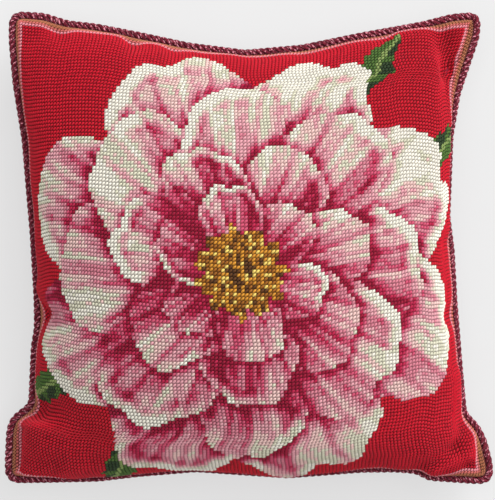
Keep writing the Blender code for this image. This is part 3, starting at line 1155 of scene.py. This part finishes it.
def puffUp(piece):
    # the back cloth bulges under the pressure of the filling, held by its seam
    start, normal = readPoints(piece, "co"), readPoints(piece, "normal")
    belly = start[:, 2] < (seam["cornerHeight"]["bottomLeft"] - 2 * filling["edgeDown"]) * mm
    sunk = start - normal * (belly * body["smaller"] * mm)[:, None]
    piece.data.vertices.foreach_set("co", sunk.ravel())
    held = piece.vertex_groups.new(name="held")
    held.add([int(number) for number in np.nonzero(~belly)[0]], 1.0, "REPLACE")
    cloth = piece.modifiers.new("cloth", "CLOTH")
    settings = cloth.settings
    settings.quality = body["clothQuality"]
    settings.mass = body["clothMass"]
    settings.tension_stiffness = settings.compression_stiffness = body["stretchStiff"]
    settings.bending_stiffness = body["bendStiff"]
    settings.vertex_group_mass = "held"
    settings.use_pressure = True
    settings.uniform_pressure_force = body["pressure"]
    settings.shrink_min = -body["spare"]
    settings.effector_weights.gravity = 0.0
    cloth.collision_settings.use_collision = False
    cloth.point_cache.frame_start, cloth.point_cache.frame_end = 1, body["frames"]
    for number in range(1, body["frames"] + 1):
        scene.frame_set(number)
    settle(piece)
    step = readPoints(piece, "co") - start
    far = np.linalg.norm(step, axis=1, keepdims=True)
    print("body puffed up, furthest", round(float(far.max()) * 1000, 1), "mm")
    step *= np.minimum(1.0, body["cap"] * mm / np.maximum(far, 1e-9))
    placed = start + step
    placed[:, 2] = np.maximum(placed[:, 2], body["floor"] * mm)
    piece.data.vertices.foreach_set("co", placed.ravel())
    scene.frame_set(1)


filledBody = makeBody()
puffUp(filledBody)
smooth = filledBody.modifiers.new("smooth", "SUBSURF")
smooth.levels = smooth.render_levels = 1
settle(filledBody)
print("body made,", len(filledBody.data.polygons), "faces")


# Twisted rope: three strands, each of fine plies

rope = {
    "turns": 96,            # round the whole cushion
    "stepsTurn": 16,
    "around": 10,           # faces round a strand
    "strandOut": 1.72,      # mm from the rope's middle to a strand's
    "strandRadius": 1.36,
    "inwards": 1.0,         # laid this much closer to the panel than the solid
    "drop": 1.2,
    "weld": 0.02,           # mm, points closer than this are made one
    "mapRow": 10,           # turns side by side on the map
    "mapMargin": 0.03,      # round each of them
    "plyTwist": -1.13,      # turns of the plies in one turn of the rope
    "plies": 5,
    # in each strand, where round it the pale plies start
    "palePlies": ((0.0, 0.4, 0.7), (0.55, 0.15), (0.3, 0.85)),
}

ropeLook = {
    "wine": ((86, 17, 32), (120, 33, 50)),
    "wineTone": (420.0, 2.0, 0.3, 0.7),
    "paleShade": (212, 134, 148),
    "palePly": (0.11, 0.07),            # from its middle, where it fades in
    "flecks": (620.0, 1.0, 0.47, 0.60),
    # painted shade: the grooves between plies are darkened to this colour
    "groovePaintedShade": (44, 9, 18),         # between plies
    "groove": (0.28, 0.5),
    "groovePaintedDark": 0.55,
    # painted shade: the side of each strand that faces the others is darkened, for the shade in
    # the valleys between strands
    "innerPaintedShade": (32, 7, 13),          # on the side of a strand that faces the others
    "inner": (0.30, 0.17),
    "innerPaintedDark": 0.85,
    "roughness": (800.0, 3.0, 0.6, 0.2),
    "plyDeep": 0.0003,
    "fuzz": (2600.0, 2.0, 0.55, 0.0001),
    "sheen": 0.10,
    "sheenShade": (230, 150, 160),
}


def plyTurn(graph):
    along, around, _ = graph.split(graph.onMap("thread"))
    return along * (rope["turns"] * rope["plyTwist"]) + around


def ropeColour(palePlies):
    def colour(graph):
        around = graph.split(graph.onMap("thread"))[1]
        turn = plyTurn(graph)
        low, high = (linear(*shade) for shade in ropeLook["wine"])
        yarn = graph.blend(graph.patches(*ropeLook["wineTone"]), low, high)
        flecks = graph.patches(*ropeLook["flecks"])
        for start in palePlies:
            pale = (turn + (start + 0.5)).fromMiddle().step(*ropeLook["palePly"])
            yarn = graph.blend(pale * flecks, yarn, linear(*ropeLook["paleShade"]))
        # painted shade in the grooves between plies
        groove = (turn * rope["plies"]).fromMiddle().step(*ropeLook["groove"])
        groove = groove * ropeLook["groovePaintedDark"]
        yarn = graph.blend(groove, yarn, linear(*ropeLook["groovePaintedShade"]))
        # painted shade on the side of the strand that faces the others
        inner = (around - 0.5).size().step(*ropeLook["inner"]) * ropeLook["innerPaintedDark"]
        return graph.blend(inner, yarn, linear(*ropeLook["innerPaintedShade"]))
    return colour


def ropePlies(graph):
    # each ply is round, 1 high in its middle
    fromMiddle = (plyTurn(graph) * rope["plies"]).fromMiddle()
    return 1 - fromMiddle ** 2.0 * 4.0, ropeLook["plyDeep"]


def alongLoop(line):
    # its direction at each point, where the last point is the first again
    along = np.gradient(line, axis=0)
    along[0] = along[-1] = line[1] - line[-2]
    return unit(along)


def ropeFrame():
    # the rope's middle line, its sideways and its upward direction, at even steps
    count = rope["turns"] * rope["stepsTurn"]
    line = np.column_stack((offsetLoop(loop, rope["inwards"]), heights - rope["drop"]))
    line = evenSteps(np.vstack((line, line[:1])), count + 1)
    along = alongLoop(line)
    sideways = unit(np.cross(along, (0.0, 0.0, 1.0)))
    return line, sideways, np.cross(sideways, along)


def makeStrand(number, material):
    # one strand, which winds round the rope's middle line
    line, sideways, upward = ropeFrame()
    count, around = rope["turns"] * rope["stepsTurn"], rope["around"]
    margin, mapRow = rope["mapMargin"], rope["mapRow"]
    ahead = number / len(rope["palePlies"])
    turn = 2 * math.pi * (np.arange(count + 1) / rope["stepsTurn"] + ahead)
    out = -np.cos(turn)[:, None] * sideways + np.sin(turn)[:, None] * upward
    middle = line + rope["strandOut"] * out
    along = alongLoop(middle)
    side = unit(np.cross(along, out))
    out = np.cross(side, along)
    bm = gridBmesh(count, around)
    ownMap = bm.loops.layers.uv["thread"]
    bakeMap = bm.loops.layers.uv.new("OFBake")
    for face in bm.faces:
        wholeTurns = min(round(vert.co.x) for vert in face.verts) // rope["stepsTurn"]
        row, column = divmod(wholeTurns, mapRow)
        for corner in face.loops:
            u, v = corner[ownMap].uv
            inTurn = u * rope["turns"] - wholeTurns
            corner[bakeMap].uv = (
                (column + margin + (1 - 2 * margin) * inTurn) / mapRow,
                (row + margin + (1 - 2 * margin) * v) / mapRow,
            )
    for vert in bm.verts:
        step, angle = round(vert.co.x), 2 * math.pi * round(vert.co.y) / around
        spoke = math.cos(angle) * out[step] + math.sin(angle) * side[step]
        vert.co = (middle[step] + rope["strandRadius"] * spoke) * mm + shift
    bmesh.ops.remove_doubles(bm, verts=bm.verts, dist=rope["weld"] * mm)
    bmesh.ops.recalc_face_normals(bm, faces=bm.faces)
    return newPiece(bm, f"rope_strand_{number + 1}", material)


strands = []
for number, palePlies in enumerate(rope["palePlies"]):
    finish = makeFinish(
        f"rope_yarn_{number + 1}", ropeColour(palePlies), noisyRoughness(*ropeLook["roughness"]),
        (ropePlies, noisyBump(*ropeLook["fuzz"])), ropeLook["sheen"],
        linear(*ropeLook["sheenShade"]),
    )
    strands.append(makeStrand(number, finish))
print("rope made,", len(strands[0].data.polygons), "faces a strand")


# Studio

studio = {
    "lensHeight": 2.046,    # the lens over the floor, 2 m over the seam
    "aim": (-0.00075, -0.0019),
    "frameWidth": 0.3722,   # what the picture's width covers at the seam
    "sensor": 36.0,
    "floorSize": 8.0,
    "floorShades": ((112, 112, 112), (109, 109, 109)),
    "floorGrain": (30.0, 4.0),
    "floorRoughness": (12.0, 3.0, 0.7, 0.1),
    "floorGlow": 0.61,      # the floor is a light table
    "world": 0.48,
    "worldShade": (0.92, 0.93, 0.95, 1.0),
    # name, place, size, watts
    "lights": (
        ("keyLight", (2.7, 3.8, 3.8), 2.8, 390.0),
        ("fillLight", (-3.2, -0.8, 4.4), 3.6, 18.0),
        ("topLight", (0.2, 0.4, 5.0), 3.6, 135.0),
    ),
}


def floorColour(graph):
    grain = graph.noise(graph.objectPlace(), *studio["floorGrain"])
    return graph.blend(grain, *(linear(*shade) for shade in studio["floorShades"]))


def makeFloor():
    bm = bmesh.new()
    bmesh.ops.create_grid(bm, x_segments=1, y_segments=1, size=studio["floorSize"] / 2)
    roughness = noisyRoughness(*studio["floorRoughness"])
    finish = makeFinish("floor_glass", floorColour, roughness, glow=studio["floorGlow"])
    floor = newPiece(bm, "floor", finish)


def makeLights():
    for name, place, size, watts in studio["lights"]:
        lamp = bpy.data.lights.new(name, "AREA")
        lamp.size, lamp.energy = size, watts
        light = bpy.data.objects.new(name, lamp)
        light.location = place
        light.rotation_euler = (-light.location).to_track_quat("-Z", "Y").to_euler()
        scene.collection.objects.link(light)
    world = bpy.data.worlds.new("studioWorld")
    world.use_nodes = True
    background = world.node_tree.nodes["Background"]
    background.inputs["Color"].default_value = studio["worldShade"]
    background.inputs["Strength"].default_value = studio["world"]
    scene.world = world


def makeCamera():
    lens = bpy.data.cameras.new("camera")
    lens.sensor_width = studio["sensor"]
    fromSeam = studio["lensHeight"] - seam["height"] * mm
    lens.lens = studio["sensor"] * fromSeam / studio["frameWidth"]
    camera = bpy.data.objects.new("camera", lens)
    x, y = studio["aim"]
    camera.location = (x + shift[0], y + shift[1], studio["lensHeight"])
    scene.collection.objects.link(camera)
    scene.camera = camera


makeFloor()
makeLights()
makeCamera()
print("studio made")


# Pieces joined to the root, and the solids that they stand for hidden

for piece in (canvas, filledBody, *strands, *stitchPieces):
    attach(piece, "root")
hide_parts("needlepoint_front")
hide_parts("cushion_body")
for strand in strands:
    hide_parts("rope_trim")
